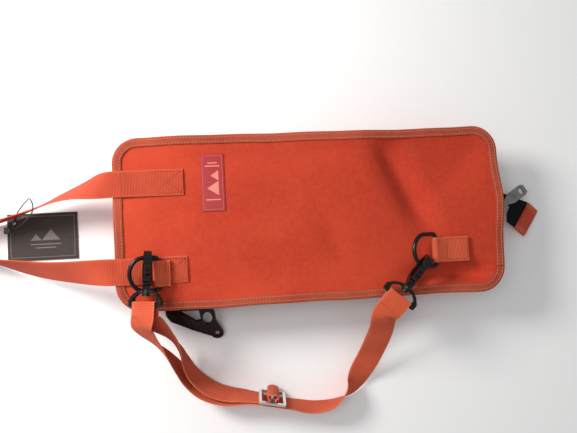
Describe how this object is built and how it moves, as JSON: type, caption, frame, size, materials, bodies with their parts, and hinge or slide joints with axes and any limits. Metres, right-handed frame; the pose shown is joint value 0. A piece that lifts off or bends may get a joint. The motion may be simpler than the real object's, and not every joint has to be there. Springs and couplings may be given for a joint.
{
  "type": "zipped gear bag",
  "caption": "Flat zipped fabric bag with a webbing carry handle, a clip-on adjustable shoulder strap on D-rings, zip pulls, a woven label and a hang tag.",
  "frame": {"origin": "on the floor under the middle of the bag, on the flat of its rear panel", "axes": "+X along the bag from the carry handle to the zip tail, +Y across it away from the shoulder strap, +Z out of the front panel"},
  "size_m": [0.6023, 0.2782, 0.0801],
  "materials": {
    "shell_cloth": "plain woven, matt",
    "binding_tape": "ribbed tape",
    "orange_webbing": "ribbed webbing",
    "label_weave": "close woven",
    "black_plastic": "moulded",
    "black_tape": "woven tape",
    "bright_metal": "plated",
    "grey_metal": "dull plated",
    "tag_card": "printed card",
    "tag_elastic": "thin braided elastic"
  },
  "bodies": {
    "bag": {"front_panel": "shell_cloth", "rear_panel": "shell_cloth", "front_binding": "binding_tape", "rear_binding": "binding_tape", "side_wall_front": "shell_cloth", "side_wall_rear": "shell_cloth", "side_wall_join": "shell_cloth", "zip_tape": "black_tape", "zip_coil": "black_tape", "zip_tail": "black_tape", "zip_end_tab": "orange_webbing", "label_patch": "label_weave", "handle_anchor_upper": "orange_webbing", "handle_anchor_lower": "orange_webbing", "ring_tab_left": "orange_webbing", "ring_tab_right": "orange_webbing", "strap_left_inner": "orange_webbing", "strap_left_outer": "orange_webbing", "strap_slide_pass": "orange_webbing", "strap_right_run": "orange_webbing"},
    "handle": {"handle_strap": "orange_webbing", "tag_cord": "tag_elastic", "tag_toggle": "black_plastic"},
    "tag": {"hang_tag": "tag_card"},
    "d_ring_left": {"d_ring_left": "black_plastic"},
    "d_ring_right": {"d_ring_right": "black_plastic"},
    "clip_jaw_left": {"clip_jaw_left": "black_plastic"},
    "clip_jaw_right": {"clip_jaw_right": "black_plastic"},
    "clip_base_left": {"clip_base_left": "black_plastic", "strap_fold_left": "orange_webbing"},
    "clip_base_right": {"clip_base_right": "black_plastic", "strap_fold_right": "orange_webbing"},
    "clip_gate_left": {"clip_gate_left": "black_plastic"},
    "clip_gate_right": {"clip_gate_right": "black_plastic"},
    "zip_slider_right": {"zip_slider_right": "grey_metal"},
    "zip_pull_right": {"zip_pull_right": "grey_metal"},
    "zip_slider_left": {"zip_slider_left": "black_plastic"},
    "zip_pull_left": {"zip_pull_left": "black_plastic"},
    "strap_slide": {"strap_slide": "bright_metal", "slide_webbing": "orange_webbing"}
  },
  "joints": [
    {"name": "handle_swing", "type": "hinge", "parent": "bag", "child": "handle", "pos_m": [-0.18, 0, 0.0536], "axis": [0, 1, 0], "range_deg": [0, 95]},
    {"name": "tag_turn", "type": "hinge", "parent": "handle", "child": "tag", "pos_m": [-0.297, 0.0095, 0.0007], "axis": [0, 0, 1], "range_deg": [-8, 8]},
    {"name": "d_ring_left_tip", "type": "hinge", "parent": "bag", "child": "d_ring_left", "pos_m": [-0.148, -0.0475, 0.0573], "axis": [0, 0.9903, 0.1392], "range_deg": [-4, 2]},
    {"name": "d_ring_right_tip", "type": "hinge", "parent": "bag", "child": "d_ring_right", "pos_m": [0.119, -0.039, 0.0542], "axis": [0, 1, 0], "range_deg": [-5, 2]},
    {"name": "clip_left_lift", "type": "hinge", "parent": "bag", "child": "clip_jaw_left", "pos_m": [-0.15682, -0.03215, 0.06133], "axis": [-0.9781, 0, 0.2079], "range_deg": [0, 8]},
    {"name": "clip_right_lift", "type": "hinge", "parent": "bag", "child": "clip_jaw_right", "pos_m": [0.10301, -0.05354, 0.06066], "axis": [-0.8313, 0.4428, 0.3359], "range_deg": [0, 16]},
    {"name": "clip_left_swivel", "type": "hinge", "parent": "clip_jaw_left", "child": "clip_base_left", "pos_m": [-0.15615, -0.03415, 0.06531], "axis": [-0.0695, -0.9938, 0.0872], "range_deg": [-12, 3]},
    {"name": "clip_right_swivel", "type": "hinge", "parent": "clip_jaw_right", "child": "clip_base_right", "pos_m": [0.10446, -0.05188, 0.06438], "axis": [-0.6525, -0.7506, -0.1045], "range_deg": [-12, 12]},
    {"name": "clip_left_gate", "type": "hinge", "parent": "clip_jaw_left", "child": "clip_gate_left", "pos_m": [-0.15676, -0.05299, 0.0703], "axis": [-0.9745, 0.0863, 0.2071], "range_deg": [0, 20], "stiffness_Nm_per_rad": 0.02},
    {"name": "clip_right_gate", "type": "hinge", "parent": "clip_jaw_right", "child": "clip_gate_right", "pos_m": [0.0917, -0.06656, 0.06576], "axis": [-0.7547, 0.6561, 0], "range_deg": [0, 8], "stiffness_Nm_per_rad": 0.02},
    {"name": "zip_slider_right_run", "type": "slide", "parent": "bag", "child": "zip_slider_right", "axis": [0, -1, 0], "range_m": [0, 0.045]},
    {"name": "zip_pull_right_swing", "type": "hinge", "parent": "zip_slider_right", "child": "zip_pull_right", "pos_m": [0.1914, -0.004, 0.025], "axis": [0, 0, 1], "range_deg": [-60, 8]},
    {"name": "zip_slider_left_run", "type": "slide", "parent": "bag", "child": "zip_slider_left", "axis": [1, 0, 0], "range_m": [0, 0.12]},
    {"name": "zip_pull_left_lift", "type": "hinge", "parent": "zip_slider_left", "child": "zip_pull_left", "pos_m": [-0.14, -0.0831, 0.025], "axis": [-1, 0, 0], "range_deg": [0, 25]},
    {"name": "strap_slide_run", "type": "slide", "parent": "bag", "child": "strap_slide", "axis": [0.9781, -0.2079, 0], "range_m": [0, 0.006]}
  ]
}
